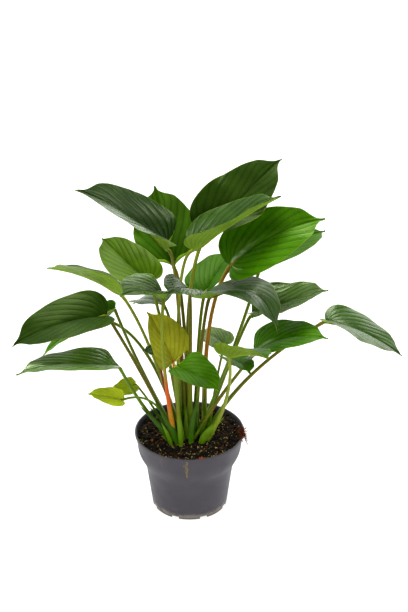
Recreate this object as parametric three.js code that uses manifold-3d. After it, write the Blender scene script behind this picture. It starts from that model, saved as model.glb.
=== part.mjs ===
// A potted emerald gem homalomena: heart-shaped leaves on long stalks that
// rise from one clump in the soil of a round nursery pot. Millimetres, +Z up,
// with the origin at the middle of the pot's standing face.
import * as THREE from 'three';
import { mergeVertices } from 'three/addons/utils/BufferGeometryUtils.js';
import Module from 'manifold-3d';

const wasm = await Module();
wasm.setup();

// The pot, a common 12 cm nursery pot.
const RIM_RADIUS = 60;
const POT_HEIGHT = 91;
const FOOT_RADIUS = 41.5;
const PAD_RADIUS = 20;
const WALL = 1.5;
const CHANNEL_HEIGHT = 3;
const POT_SIDES = 40;
const DRAIN_COUNT = 8;
const DRAIN_RADIUS = 4;
const DRAIN_CIRCLE = 29;
const NOTCH_WIDTH = 9;
// Radius of the pot's outside at each height, from the foot to the rolled rim.
const POT_PROFILE = [
  [FOOT_RADIUS, 0], [45, 26], [48.4, 52], [53, 60],
  [56.6, 68], [58.6, 87], [RIM_RADIUS, 87.6], [RIM_RADIUS, POT_HEIGHT],
];

// The soil fills the pot and is heaped towards the front right.
const GAP = 0.35;
const SOIL_LEVEL = 86.5;
const SOIL_TILT = 3.5;
const SOIL_MOUND = 4;
const SOIL_SIDES = 40;
const SOIL_RINGS = 4;

// Leaf blades: a sheet of rows along the midrib and columns across each half.
const BLADE_ROWS = 9;
const HALF_COLUMNS = 3;
const BLADE_THICKNESS = 0.8;
const MIDRIB_DEPTH = 1.1;
const TIP_WIDTH = 1.4;
const LOBE_SHARE = 1 / 3;
const FOLD_REACH = 0.5;
const EDGE_CURL = 0.1;
const EDGE_WAVE = 1.2;

// Leaf stalks, round, thicker where they sheathe one another in the soil.
const STALK_SIDES = 7;
const STALK_STEPS = 7;
const STALK_FOOT = 78;
const FOOT_FLARE = 0.2;
const FLARE_REACH = 0.6;
const JOINT_INSET = 0.15;

// Each leaf: joint is where stalk and blade meet and tip the end of its drip
// tip. roll turns its upper side about the line between them, in degrees, and
// width is the blade's size across. lobe is how far the heart's lobes reach
// back from the joint, less than nothing where the base tapers instead. fold
// is the angle by which each half rises, at the base and from the middle on.
// arch is the midrib's lift over the straight line at one and at two thirds
// of it, and sway its bend to the side. The stalk starts in the soil at root,
// passes through via and is stem thick below the joint. tone is the colour.
const LEAVES = [
  { joint: [-22, -10, 316], tip: [-111, -45, 399], roll: -26, width: 68, lobe: -8,
    fold: [62, 24], arch: [12, 13], sway: 0, root: [-4, -2], via: [-12, 0, 258], stem: 4.6,
    tone: 'dark' },
  { joint: [-16, 38, 271], tip: [-37, 82, 347], roll: -20, width: 80, lobe: -12,
    fold: [60, 18], arch: [4, 4], sway: 0, root: [0, 5], via: [-6, 14, 223], stem: 4.6,
    tone: 'dark' },
  { joint: [20, 30, 316], tip: [97, 60, 388], roll: 28, width: 76, lobe: 2,
    fold: [66, 10], arch: [8, 12], sway: 4, root: [2, -1], via: [0, 8, 240], stem: 4.8,
    tone: 'dark' },
  { joint: [7, -12, 317], tip: [93, -20, 381], roll: -1, width: 62, lobe: 3,
    fold: [60, 30], arch: [3, 4], sway: 0, root: [-9, -7], via: [-10, -6, 257], stem: 4.4,
    tone: 'dark' },
  { joint: [44, 13, 286], tip: [142, 20, 337], roll: 36, width: 74, lobe: 3,
    fold: [32, 12], arch: [9, 12], sway: -7, root: [17, 5], via: [21, 17, 206], stem: 5.4,
    tone: 'bright' },
  { joint: [78, 45, 274], tip: [149, 95, 288], roll: 8, width: 52, lobe: 6,
    fold: [28, 12], arch: [5, 8], sway: 0, root: [12, 15], via: [50, 28, 184], stem: 4.6,
    tone: 'bright' },
  { joint: [22, -14, 263], tip: [92, -70, 251], roll: -8, width: 68, lobe: 10,
    fold: [26, 10], arch: [28, 46], sway: 0, root: [6, -8], via: [13, -11, 200], stem: 4.6,
    tone: 'dark' },
  { joint: [1, -39, 284], tip: [-20, -82, 302], roll: -14, width: 46, lobe: -6,
    fold: [26, 12], arch: [6, 6], sway: 0, root: [0, -12], via: [2, -22, 222], stem: 4.2,
    tone: 'dark' },
  { joint: [-25, -38, 275], tip: [-67, -90, 304], roll: -8, width: 56, lobe: -6,
    fold: [50, 18], arch: [9, 10], sway: 0, root: [-14, -18], via: [-26, -52, 211], stem: 4.4,
    tone: 'dark' },
  { joint: [-28, 4, 246], tip: [-61, 60, 217], roll: -6, width: 42, lobe: 2,
    fold: [24, 12], arch: [6, 8], sway: 0, root: [-3, 12], via: [-15, 9, 195], stem: 4.2,
    tone: 'dark' },
  { joint: [-16, -20, 187], tip: [-43, -20, 249], roll: -47, width: 56, lobe: -6,
    fold: [32, 26], arch: [3, 4], sway: 0, root: [-9, -15], via: [-13, -19, 140], stem: 4.2,
    tone: 'yellow' },
  { joint: [-31, -10, 193], tip: [-49, -8, 196], roll: -6, width: 20, lobe: 3,
    fold: [24, 12], arch: [3, 4], sway: 0, root: [-10, -1], via: [-27, -7, 152], stem: 3.4,
    tone: 'dark' },
  { joint: [-86, -15, 242], tip: [-183, -45, 222], roll: -14, width: 68, lobe: 4,
    fold: [30, 14], arch: [12, 14], sway: 0, root: [-15, 3], via: [-46, -5, 155], stem: 4.8,
    tone: 'dark' },
  { joint: [-80, 12, 236], tip: [-159, 0, 183], roll: 5, width: 38, lobe: 4,
    fold: [26, 12], arch: [6, 8], sway: 0, root: [-15, 10], via: [-52, 10, 163], stem: 4.4,
    tone: 'bright' },
  { joint: [-94, 38, 208], tip: [-148, 92, 168], roll: 0, width: 56, lobe: 6,
    fold: [26, 12], arch: [6, 8], sway: 0, root: [-10, 16], via: [-48, 30, 172], stem: 4.4,
    tone: 'dark' },
  { joint: [-73, -45, 197], tip: [-176, -80, 208], roll: 6, width: 60, lobe: -4,
    fold: [26, 12], arch: [8, 14], sway: 0, root: [-15, -4], via: [-45, -17, 125], stem: 4.6,
    tone: 'dark' },
  { joint: [-73, 20, 249], tip: [-153, 50, 265], roll: 27, width: 56, lobe: 3,
    fold: [42, 25], arch: [6, 8], sway: 0, root: [-9, 9], via: [-43, 12, 190], stem: 4.4,
    tone: 'dark' },
  { joint: [-42, -10, 281], tip: [-93, 52, 300], roll: -22, width: 50, lobe: 8,
    fold: [24, 12], arch: [4, 8], sway: -4, root: [-6, 3], via: [-28, -3, 220], stem: 4.4,
    tone: 'bright' },
  { joint: [17, 29, 246], tip: [49, 91, 263], roll: -13, width: 60, lobe: 5,
    fold: [36, 22], arch: [4, 6], sway: 0, root: [7, 7], via: [10, 12, 190], stem: 4.4,
    tone: 'bright' },
  { joint: [67, 5, 230], tip: [145, -15, 272], roll: 10, width: 64, lobe: -4,
    fold: [52, 15], arch: [3, 5], sway: 0, root: [11, -3], via: [52, 4, 198], stem: 4.4,
    tone: 'dark' },
  { joint: [71, -24, 203], tip: [144, -50, 234], roll: 8, width: 64, lobe: 4,
    fold: [26, 10], arch: [14, 14], sway: 0, root: [-1, -18], via: [31, -20, 141], stem: 4.6,
    tone: 'bright' },
  { joint: [144, -10, 232], tip: [223, -40, 208], roll: -5, width: 60, lobe: 3,
    fold: [32, 12], arch: [12, 6], sway: 0, root: [13, -10], via: [62, -11, 162], stem: 4.6,
    tone: 'dark' },
  { joint: [42, -56, 216], tip: [81, -111, 245], roll: -22, width: 48, lobe: 12,
    fold: [36, 24], arch: [4, 6], sway: 0, root: [14, -17], via: [39, -42, 154], stem: 4.2,
    tone: 'bright' },
  { joint: [44, -22, 193], tip: [64, -64, 200], roll: -7, width: 34, lobe: 6,
    fold: [26, 12], arch: [4, 6], sway: 0, root: [7, -14], via: [30, -12, 150], stem: 4.2,
    tone: 'bright' },
  { joint: [39, 18, 189], tip: [12, 58, 184], roll: -16, width: 30, lobe: 6,
    fold: [20, 12], arch: [3, 4], sway: 0, root: [20, 12], via: [32, 13, 160], stem: 3.4,
    tone: 'dark' },
  { joint: [-13, -50, 200], tip: [32, -85, 192], roll: 4, width: 52, lobe: -4,
    fold: [30, 15], arch: [6, 6], sway: 0, root: [-6, -21], via: [-13, -42, 161], stem: 4.2,
    tone: 'bright' },
  { joint: [-70, -50, 160], tip: [-105, -62, 175], roll: -34, width: 22, lobe: 2,
    fold: [24, 12], arch: [2, 3], sway: 0, root: [-15, -11], via: [-36, -29, 141], stem: 3.2,
    tone: 'yellow' },
  { joint: [-58, -10, 155], tip: [-86, -24, 149], roll: -20, width: 22, lobe: 2,
    fold: [14, 10], arch: [2, 3], sway: 0, root: [-21, 5], via: [-40, -3, 123], stem: 3.2,
    tone: 'yellow' },
];

// Young leaves still rolled into points beside the clump.
const SHOOTS = [
  { root: [-24, 14], tip: [-29, 13, 99], thickness: 5.5 },
  { root: [-21, -17], tip: [-30, -20, 95], thickness: 4.5 },
];

// A closed three.js mesh as a solid that can be joined and cut.
function toSolid(geometry) {
  const bare = geometry.clone();
  bare.deleteAttribute('normal');
  bare.deleteAttribute('uv');
  const welded = mergeVertices(bare, 1e-4);
  return new wasm.Manifold(new wasm.Mesh({
    numProp: 3,
    vertProperties: new Float32Array(welded.getAttribute('position').array),
    triVerts: new Uint32Array(welded.index.array),
  }));
}

function toGeometry(solid) {
  const mesh = solid.getMesh();
  const geometry = new THREE.BufferGeometry();
  geometry.setAttribute('position', new THREE.BufferAttribute(mesh.vertProperties, 3));
  geometry.setIndex(new THREE.BufferAttribute(mesh.triVerts, 1));
  geometry.computeVertexNormals();
  return geometry;
}

const vector = ([x, y, z]) => new THREE.Vector3(x, y, z);

// The edge of one half of a flat heart-shaped blade, as [across, along], for
// t from 0 at the end of the lobe to 1 at the drip tip.
function bladeEdge(leaf, length, t) {
  const half = leaf.width / 2;
  const lobe = [
    [0.2 * half, -0.75 * leaf.lobe], [0.4 * half, -1.3 * leaf.lobe],
    [0.98 * half, -0.9 * leaf.lobe], [half, 0.2 * length],
  ];
  const side = [
    [half, 0.2 * length], [1.02 * half, 0.6 * length],
    [0.38 * half, 0.92 * length], [TIP_WIDTH / 2, length],
  ];
  const [a, b, c, d] = t < LOBE_SHARE ? lobe : side;
  const s = t < LOBE_SHARE ? t / LOBE_SHARE : (t - LOBE_SHARE) / (1 - LOBE_SHARE);
  const blend = (i) => (1 - s) ** 3 * a[i] + 3 * (1 - s) ** 2 * s * b[i]
    + 3 * (1 - s) * s ** 2 * c[i] + s ** 3 * d[i];
  return [blend(0), blend(1)];
}

// The same row's start on the midrib: close together behind the lobes, where
// the side veins fan out from the joint, and even from there to the tip.
function midribStart(length, t) {
  const fan = 0.1 * length;
  if (t < LOBE_SHARE) return fan * (t / LOBE_SHARE) ** 1.5;
  return fan + (length - fan) * (t - LOBE_SHARE) / (1 - LOBE_SHARE);
}

// The blade's own axes: forward to the tip, up out of its upper side.
function bladeAxes(leaf) {
  const forward = vector(leaf.tip).sub(vector(leaf.joint));
  const length = forward.length();
  forward.normalize();
  const up = new THREE.Vector3(0, 0, 1).addScaledVector(forward, -forward.z).normalize();
  up.applyAxisAngle(forward, THREE.MathUtils.degToRad(leaf.roll));
  const side = new THREE.Vector3().crossVectors(forward, up);
  return { forward, up, side, length };
}

// The midrib bends over an arch, and runs straight back under the lobes.
function midrib(leaf, axes) {
  const at = (along, lift, aside) => vector(leaf.joint)
    .addScaledVector(axes.forward, along * axes.length)
    .addScaledVector(axes.up, lift)
    .addScaledVector(axes.side, aside);
  return new THREE.CubicBezierCurve3(
    at(0, 0, 0), at(1 / 3, leaf.arch[0], leaf.sway),
    at(2 / 3, leaf.arch[1], leaf.sway), at(1, 0, 0));
}

// A point of the upper side, for u from -1 to 1 across and t from 0 to 1 along.
function bladePoint(leaf, axes, curve, u, t) {
  const start = midribStart(axes.length, t);
  const [edgeAcross, edgeAlong] = bladeEdge(leaf, axes.length, t);
  const across = edgeAcross * Math.abs(u);
  const along = start + (edgeAlong - start) * Math.abs(u);
  const s = along / axes.length;
  const point = curve.getPoint(Math.max(s, 0));
  const ahead = curve.getTangent(Math.max(s, 0));
  point.addScaledVector(ahead, Math.min(along, 0));
  const up = new THREE.Vector3().crossVectors(axes.side, ahead).normalize();
  const [baseFold, tipFold] = leaf.fold;
  const flatten = Math.min(Math.max(s, 0) / FOLD_REACH, 1);
  const fold = THREE.MathUtils.degToRad(baseFold + (tipFold - baseFold) * flatten);
  const half = leaf.width / 2;
  const curl = EDGE_CURL * across ** 2 / half;
  const phase = 9 * t + leaf.width + 2 * Math.sign(u);
  const wave = EDGE_WAVE * (across / half) ** 2 * Math.sin(phase);
  point.addScaledVector(axes.side, Math.sign(u) * across * Math.cos(fold));
  return point.addScaledVector(up, across * Math.sin(fold) - curl + wave);
}

// A blade as a closed sheet, thicker along its midrib, with its two faces
// split into triangles alike. grow makes it that much larger all round.
function bladeGeometry(leaf, grow = 0) {
  const columns = 2 * HALF_COLUMNS;
  const sheet = new THREE.PlaneGeometry(2, 1, columns, BLADE_ROWS);
  const axes = bladeAxes(leaf);
  const curve = midrib(leaf, axes);
  const place = sheet.getAttribute('position');
  const across = [];
  for (let i = 0; i < place.count; i += 1) {
    across.push(place.getX(i));
    const point = bladePoint(leaf, axes, curve, place.getX(i), place.getY(i) + 0.5);
    place.setXYZ(i, point.x, point.y, point.z);
  }
  sheet.computeVertexNormals();
  const normal = sheet.getAttribute('normal');

  // The border runs anticlockwise, seen from above.
  const stride = columns + 1;
  const border = [];
  for (let i = 0; i < columns; i += 1) border.push(BLADE_ROWS * stride + i);
  for (let i = BLADE_ROWS; i > 0; i -= 1) border.push(i * stride + columns);
  for (let i = columns; i > 0; i -= 1) border.push(i);
  for (let i = 0; i < BLADE_ROWS; i += 1) border.push(i * stride);

  const upper = [];
  const outward = [];
  for (let i = 0; i < place.count; i += 1) {
    upper.push(new THREE.Vector3().fromBufferAttribute(place, i));
    outward.push(new THREE.Vector3());
  }
  border.forEach((id, i) => {
    const next = upper[border[(i + 1) % border.length]];
    const last = upper[border[(i + border.length - 1) % border.length]];
    const out = new THREE.Vector3().subVectors(next, last);
    out.cross(new THREE.Vector3().fromBufferAttribute(normal, id)).setLength(grow);
    outward[id].copy(out);
  });
  const positions = [];
  for (const lower of [false, true]) {
    upper.forEach((point, i) => {
      const rib = MIDRIB_DEPTH * (across[i] === 0 ? 1 : 0);
      const step = lower ? -(BLADE_THICKNESS + rib + grow) : grow;
      const moved = point.clone().add(outward[i]);
      moved.addScaledVector(new THREE.Vector3().fromBufferAttribute(normal, i), step);
      positions.push(moved.x, moved.y, moved.z);
    });
  }
  const faces = Array.from(sheet.index.array);
  const count = place.count;
  for (let i = 0; i < sheet.index.count; i += 3) {
    const [a, b, c] = [faces[i], faces[i + 1], faces[i + 2]];
    faces.push(a + count, c + count, b + count);
  }
  border.forEach((a, i) => {
    const b = border[(i + 1) % border.length];
    faces.push(a + count, b + count, b, a + count, b, a);
  });
  const geometry = new THREE.BufferGeometry();
  geometry.setAttribute('position', new THREE.Float32BufferAttribute(positions, 3));
  geometry.setIndex(faces);
  geometry.computeVertexNormals();
  return geometry;
}

// A round rod that follows a curve, its radius given along it by a formula.
function rodGeometry(curve, sides, steps, radiusAt) {
  const rod = new THREE.CylinderGeometry(1, 1, 1, sides, steps);
  const frames = curve.computeFrenetFrames(steps, false);
  const place = rod.getAttribute('position');
  for (let i = 0; i < place.count; i += 1) {
    const t = place.getY(i) + 0.5;
    const step = Math.round(t * steps);
    const radius = radiusAt(t);
    const point = curve.getPointAt(t);
    point.addScaledVector(frames.normals[step], place.getZ(i) * radius);
    point.addScaledVector(frames.binormals[step], place.getX(i) * radius);
    place.setXYZ(i, point.x, point.y, point.z);
  }
  rod.computeVertexNormals();
  return rod;
}

// A leaf's stalk ends in the notch of the blade, level with its upper side.
function stalkCurve(leaf) {
  const axes = bladeAxes(leaf);
  const ahead = midrib(leaf, axes).getTangent(0);
  const foot = new THREE.Vector3(leaf.root[0], leaf.root[1], STALK_FOOT);
  const end = vector(leaf.joint).addScaledVector(ahead, -JOINT_INSET * leaf.stem);
  const middle = vector(leaf.via).multiplyScalar(8).sub(foot).sub(end).divideScalar(6);
  const spread = new THREE.Vector3().subVectors(end, foot).divideScalar(6);
  return new THREE.CubicBezierCurve3(
    foot, middle.clone().sub(spread), middle.clone().add(spread), end);
}

function stalkGeometry(leaf, grow = 0) {
  const flare = (t) => FOOT_FLARE * (1 - Math.min(t / FLARE_REACH, 1));
  const radiusAt = (t) => leaf.stem / 2 * (1 + flare(t)) + grow;
  return rodGeometry(stalkCurve(leaf), STALK_SIDES, STALK_STEPS, radiusAt);
}

// A shoot is a slim point, thickest a third of the way up.
function shootGeometry(shoot, grow = 0) {
  const foot = new THREE.Vector3(shoot.root[0], shoot.root[1], STALK_FOOT);
  const tip = vector(shoot.tip);
  const bend = new THREE.Vector3(shoot.root[0], shoot.root[1], tip.z - 4);
  const curve = new THREE.QuadraticBezierCurve3(foot, bend, tip);
  const radiusAt = (t) => shoot.thickness / 2 * (t < 0.5 ? 0.8 + 0.4 * t : 1.9 - 1.8 * t) + grow;
  return rodGeometry(curve, STALK_SIDES, STALK_STEPS, radiusAt);
}

function latheSolid(points, sides) {
  const profile = points.map(([radius, height]) => new THREE.Vector2(radius, height));
  const turned = new THREE.LatheGeometry(profile, sides);
  turned.rotateX(Math.PI / 2);
  return turned;
}

const potMaterial = new THREE.MeshStandardMaterial({ color: 0x4a474d, roughness: 0.55 });
const soilMaterial = new THREE.MeshStandardMaterial({ color: 0x2a1d14, roughness: 0.95 });
const bladeMaterials = {
  dark: new THREE.MeshStandardMaterial({ color: 0x33552a, roughness: 0.35 }),
  bright: new THREE.MeshStandardMaterial({ color: 0x4b7d1d, roughness: 0.35 }),
  yellow: new THREE.MeshStandardMaterial({ color: 0x93953a, roughness: 0.45 }),
};
const stalkMaterial = new THREE.MeshStandardMaterial({ color: 0x8a9a3a, roughness: 0.45 });
const shootMaterial = new THREE.MeshStandardMaterial({ color: 0xa8b84a, roughness: 0.45 });

const plant = new THREE.Group();
function addNode(name, geometry, material) {
  const mesh = new THREE.Mesh(geometry, material);
  mesh.name = name;
  plant.add(mesh);
  return mesh;
}

// The pot is turned from its wall's outline: outside from the foot up to the
// rim, back down inside a wall's thickness away, and across the stepped floor.
function potSolid() {
  const outside = POT_PROFILE;
  const inside = POT_PROFILE.slice(1, -2).reverse()
    .map(([radius, height]) => [radius - WALL, height]);
  const floor = CHANNEL_HEIGHT + WALL;
  const profile = [
    [0, 0], [PAD_RADIUS, 0], [PAD_RADIUS + 1.5, CHANNEL_HEIGHT],
    [FOOT_RADIUS - 4, CHANNEL_HEIGHT], [FOOT_RADIUS - 3, 0], ...outside,
    [RIM_RADIUS - WALL, POT_HEIGHT], ...inside,
    [FOOT_RADIUS - 1, floor], [PAD_RADIUS, floor], [PAD_RADIUS - 2, WALL + 1], [0, WALL + 1],
  ];
  let pot = toSolid(latheSolid(profile, POT_SIDES));
  for (let i = 0; i < DRAIN_COUNT; i += 1) {
    const angle = (i + 0.5) / DRAIN_COUNT * 2 * Math.PI;
    const hole = new THREE.CylinderGeometry(DRAIN_RADIUS, DRAIN_RADIUS, 4 * floor, 10);
    hole.rotateX(Math.PI / 2);
    hole.translate(DRAIN_CIRCLE * Math.cos(angle), DRAIN_CIRCLE * Math.sin(angle), 0);
    pot = pot.subtract(toSolid(hole));
    const notch = new THREE.BoxGeometry(12, NOTCH_WIDTH, 2 * CHANNEL_HEIGHT);
    notch.translate(FOOT_RADIUS, 0, 0);
    notch.rotateZ(angle);
    pot = pot.subtract(toSolid(notch));
  }
  return pot;
}

// Height of the soil's surface: tilted up to the front right, mounded round
// the clump, with a few low waves.
function soilHeight(x, y) {
  const tilt = SOIL_TILT * (0.6 * x - 0.8 * y) / RIM_RADIUS;
  const mound = SOIL_MOUND * Math.exp(-((x + 2) ** 2 + (y + 4) ** 2) / 30 ** 2);
  const waves = 0.8 * Math.sin(0.21 * x + 1) * Math.cos(0.17 * y) + 0.5 * Math.sin(0.33 * y + 0.2 * x);
  return SOIL_LEVEL + tilt + mound + waves;
}

// The soil touches neither pot nor stalk: a gap of GAP is left all round.
function soilSolid() {
  const floor = CHANNEL_HEIGHT + WALL + GAP;
  const wall = POT_PROFILE.slice(1, -2).map(([radius, height]) => [radius - WALL - GAP, height]);
  const top = wall[wall.length - 1];
  const profile = [[0, WALL + 1 + GAP], [PAD_RADIUS - 2 - GAP, WALL + 1 + GAP],
    [PAD_RADIUS - GAP, floor], [FOOT_RADIUS - 1.6, floor], ...wall.slice(0, -1)];
  const edge = top[0] - 0.8;
  for (let i = SOIL_RINGS; i >= 0; i -= 1) profile.push([edge * i / SOIL_RINGS, SOIL_LEVEL]);
  const body = latheSolid(profile, SOIL_SIDES);
  const place = body.getAttribute('position');
  for (let i = 0; i < place.count; i += 1) {
    if (place.getZ(i) > SOIL_LEVEL - 0.01) {
      place.setZ(i, soilHeight(place.getX(i), place.getY(i)));
    }
  }
  let soil = toSolid(body);
  for (const leaf of LEAVES) soil = soil.subtract(toSolid(stalkGeometry(leaf, GAP)));
  for (const shoot of SHOOTS) soil = soil.subtract(toSolid(shootGeometry(shoot, GAP)));
  return soil;
}

addNode('pot', toGeometry(potSolid()), potMaterial);
addNode('soil', toGeometry(soilSolid()), soilMaterial);
LEAVES.forEach((leaf, i) => {
  const name = `leaf_${String(i + 1).padStart(2, '0')}`;
  const cut = toSolid(stalkGeometry(leaf)).subtract(toSolid(bladeGeometry(leaf, GAP)));
  const [stalk] = cut.decompose().sort((a, b) => b.volume() - a.volume());
  addNode(`${name}_blade`, bladeGeometry(leaf), bladeMaterials[leaf.tone]);
  addNode(`${name}_stalk`, toGeometry(stalk), stalkMaterial);
});
SHOOTS.forEach((shoot, i) => {
  addNode(`shoot_${i + 1}`, shootGeometry(shoot), shootMaterial);
});

export default plant;
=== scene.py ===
import bisect
import math
import random

import bmesh
import bpy
from mathutils import Matrix, Vector, noise


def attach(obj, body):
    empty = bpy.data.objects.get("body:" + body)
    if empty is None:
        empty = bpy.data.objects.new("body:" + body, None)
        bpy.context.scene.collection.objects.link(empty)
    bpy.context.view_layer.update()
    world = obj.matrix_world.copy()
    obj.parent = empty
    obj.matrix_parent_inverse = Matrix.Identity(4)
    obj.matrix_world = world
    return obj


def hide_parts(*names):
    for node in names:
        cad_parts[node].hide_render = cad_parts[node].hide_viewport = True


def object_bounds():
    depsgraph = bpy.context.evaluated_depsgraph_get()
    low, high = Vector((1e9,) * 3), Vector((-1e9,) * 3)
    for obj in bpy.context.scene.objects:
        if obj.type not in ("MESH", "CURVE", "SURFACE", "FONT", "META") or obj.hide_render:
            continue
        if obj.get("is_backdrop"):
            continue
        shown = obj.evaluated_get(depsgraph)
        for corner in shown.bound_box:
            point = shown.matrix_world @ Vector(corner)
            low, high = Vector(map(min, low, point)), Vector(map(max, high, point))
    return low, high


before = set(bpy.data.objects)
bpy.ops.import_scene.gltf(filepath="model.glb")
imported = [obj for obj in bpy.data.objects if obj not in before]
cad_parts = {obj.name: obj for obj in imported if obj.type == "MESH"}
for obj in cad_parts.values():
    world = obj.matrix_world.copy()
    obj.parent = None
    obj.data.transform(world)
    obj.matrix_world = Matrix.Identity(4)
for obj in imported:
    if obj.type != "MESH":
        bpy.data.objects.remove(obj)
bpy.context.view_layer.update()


# The pot
# One thin-walled nursery pot, moulded in dull dark grey plastic, with a rolled rim
# over a wider collar, a foot ring cut by notches, and drain holes in its floor.

# Every piece is modelled in millimetres and scaled to metres as it is finished.
MM = 0.001
RIM_RADIUS = 60
POT_HEIGHT = 91
FOOT_RADIUS = 41.5
PAD_RADIUS = 20
WALL = 1.5
CHANNEL_HEIGHT = 3
FLOOR = CHANNEL_HEIGHT + WALL
PAD_FLOOR = WALL + 1
CORNER = 0.4
POT_STEPS = 160
ROUNDING_STEPS = 4
SAME_PLACE = 0.001
DRAIN_COUNT = 8
DRAIN_RADIUS = 4
DRAIN_CIRCLE = 29
NOTCH_WIDTH = 9
NOTCH_REACH = 12
# Radius and height of the outside from the foot to the rim, and how softly each
# corner is rounded.
POT_OUTSIDE = [
    (FOOT_RADIUS, 0, 0.6), (45, 26, 8), (48.4, 52, 6), (53, 60, 3),
    (56.6, 68, 5), (58.6, 87, 0.4), (RIM_RADIUS, 87.6, 0.25), (RIM_RADIUS, POT_HEIGHT, 0.5),
]


def add_object(name, data):
    made = bpy.data.objects.new(name, data)
    bpy.context.scene.collection.objects.link(made)
    return made


def to_mesh(name, bm):
    mesh = bpy.data.meshes.new(name)
    bm.to_mesh(mesh)
    bm.free()
    return mesh


def finish(name, bm, materials, slot, *nodes, sharp=40):
    """Makes the bmesh a smooth-shaded piece in metres that rides on the plant's one body."""
    bmesh.ops.scale(bm, vec=(MM, MM, MM), verts=bm.verts)
    bmesh.ops.recalc_face_normals(bm, faces=bm.faces)
    mesh = to_mesh(name, bm)
    for material in materials:
        mesh.materials.append(material)
    mesh.shade_smooth()
    mesh.set_sharp_from_angle(angle=math.radians(sharp))
    piece = add_object(name, mesh)
    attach(piece, "root")
    if nodes:
        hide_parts(*nodes)
    return piece


def turn_profile(bm, outline, steps):
    """Spins an outline of (radius, height, rounding) round the Z axis."""
    verts = [bm.verts.new((radius, 0, height)) for radius, height, _ in outline]
    for pair in zip(verts, verts[1:]):
        bm.edges.new(pair)
    for vert, (_, _, rounding) in zip(verts, outline):
        if rounding:
            bmesh.ops.bevel(bm, geom=[vert], offset=rounding, segments=ROUNDING_STEPS, profile=0.5,
                            affect="VERTICES", material=-1)
    bmesh.ops.spin(bm, geom=bm.verts[:] + bm.edges[:], cent=(0, 0, 0), axis=(0, 0, 1),
                   angle=2 * math.pi, steps=steps, use_merge=True)
    bmesh.ops.remove_doubles(bm, verts=bm.verts, dist=SAME_PLACE)


def add_node(tree, kind, inputs=None, **settings):
    """Adds a shader node, with its settings and with values or links for its inputs."""
    made = tree.nodes.new(kind)
    for key, value in settings.items():
        setattr(made, key, value)
    for socket, value in (inputs or {}).items():
        if isinstance(value, bpy.types.NodeSocket):
            tree.links.new(value, made.inputs[socket])
        else:
            made.inputs[socket].default_value = value
    return made


def math_node(tree, operation, a, b=0.0, c=0.0, clamp=False):
    made = add_node(tree, "ShaderNodeMath", {0: a, 1: b, 2: c}, operation=operation, use_clamp=clamp)
    return made.outputs[0]


def multiply(tree, a, b, clamp=False):
    return math_node(tree, "MULTIPLY", a, b, clamp=clamp)


def subtract(tree, a, b, clamp=False):
    return math_node(tree, "SUBTRACT", a, b, clamp=clamp)


def fall_off(tree, value, reach):
    """1 where the value is 0, falling evenly to 0 where it comes to reach."""
    return subtract(tree, 1.0, math_node(tree, "DIVIDE", value, reach), clamp=True)


def coordinates(tree, kind):
    """The X, Y and Z of one kind of texture coordinate."""
    place = add_node(tree, "ShaderNodeTexCoord").outputs[kind]
    return add_node(tree, "ShaderNodeSeparateXYZ", {0: place}).outputs


def ramp(tree, factor, stops):
    """A colour ramp through (position, colour) stops; a plain number is a grey."""
    made = add_node(tree, "ShaderNodeValToRGB", {"Fac": factor})
    band = made.color_ramp.elements
    while len(band) < len(stops):
        band.new(0.5)
    for element, (position, colour) in zip(band, stops):
        element.position = position
        element.color = (*colour, 1) if isinstance(colour, tuple) else (colour, colour, colour, 1)
    return made.outputs["Color"]


def blend_colour(tree, factor, a, b, blend_type="MIX"):
    made = add_node(tree, "ShaderNodeMix", data_type="RGBA", blend_type=blend_type)
    for socket, value in ((made.inputs[0], factor), (made.inputs[6], a), (made.inputs[7], b)):
        if isinstance(value, bpy.types.NodeSocket):
            tree.links.new(value, socket)
        elif isinstance(value, tuple):
            socket.default_value = (*value, 1)
        else:
            socket.default_value = value
    return made.outputs[2]


def vary(tree, strength, colour, pattern, low, high):
    """Darkens and lightens a colour by a pattern, through two (position, grey) stops."""
    return blend_colour(tree, strength, colour, ramp(tree, pattern, [low, high]), "OVERLAY")


def shade(red, green, blue):
    """A display colour, 0 to 255 a channel, as the linear colour that the shaders take."""
    return tuple(((channel / 255 + 0.055) / 1.055) ** 2.4 for channel in (red, green, blue))


def new_material(name, values):
    """A material, its node tree and its one surface shader, with values for its sockets."""
    material = bpy.data.materials.new(name)
    material.use_nodes = True
    tree = material.node_tree
    shader = tree.nodes["Principled BSDF"]
    for socket, value in values.items():
        shader.inputs[socket].default_value = value
    return material, tree, shader


def object_noise(tree, scale, detail=2.0, roughness=0.5, stretch=(1, 1, 1)):
    """Noise on the piece's own coordinates, in features per metre."""
    place = add_node(tree, "ShaderNodeTexCoord").outputs["Object"]
    place = add_node(tree, "ShaderNodeMapping", {"Vector": place, "Scale": stretch}).outputs[0]
    return add_node(tree, "ShaderNodeTexNoise", {
        "Vector": place, "Scale": scale, "Detail": detail, "Roughness": roughness}).outputs["Fac"]


def bump(tree, shader, height, distance):
    """Relief in the shading only, as high as the distance in metres."""
    made = add_node(tree, "ShaderNodeBump", {"Height": height, "Distance": distance, "Strength": 1.0})
    tree.links.new(made.outputs["Normal"], shader.inputs["Normal"])


# Each streak in metres: middle and half width across, top and bottom; then its
# colour and its strength.
STREAKS = [
    (-0.0026, 0.0020, 0.088, 0.062, (0.24, 0.20, 0.13), 0.8),
    (-0.0300, 0.0030, 0.088, 0.070, (0.16, 0.08, 0.055), 0.7),
    (-0.0240, 0.0016, 0.086, 0.074, (0.13, 0.07, 0.05), 0.5),
]
STREAK_TOP_FADE = 0.002
STREAK_WIGGLE = 0.006
# How fast the earth rubbed into the foot fades per metre, and how strong it starts.
EARTH_FADE = -105
EARTH_START = 1.45
# How high the painted shadow along the foot's lowest edge reaches, in metres.
FOOT_SHADOW = 0.003


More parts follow.
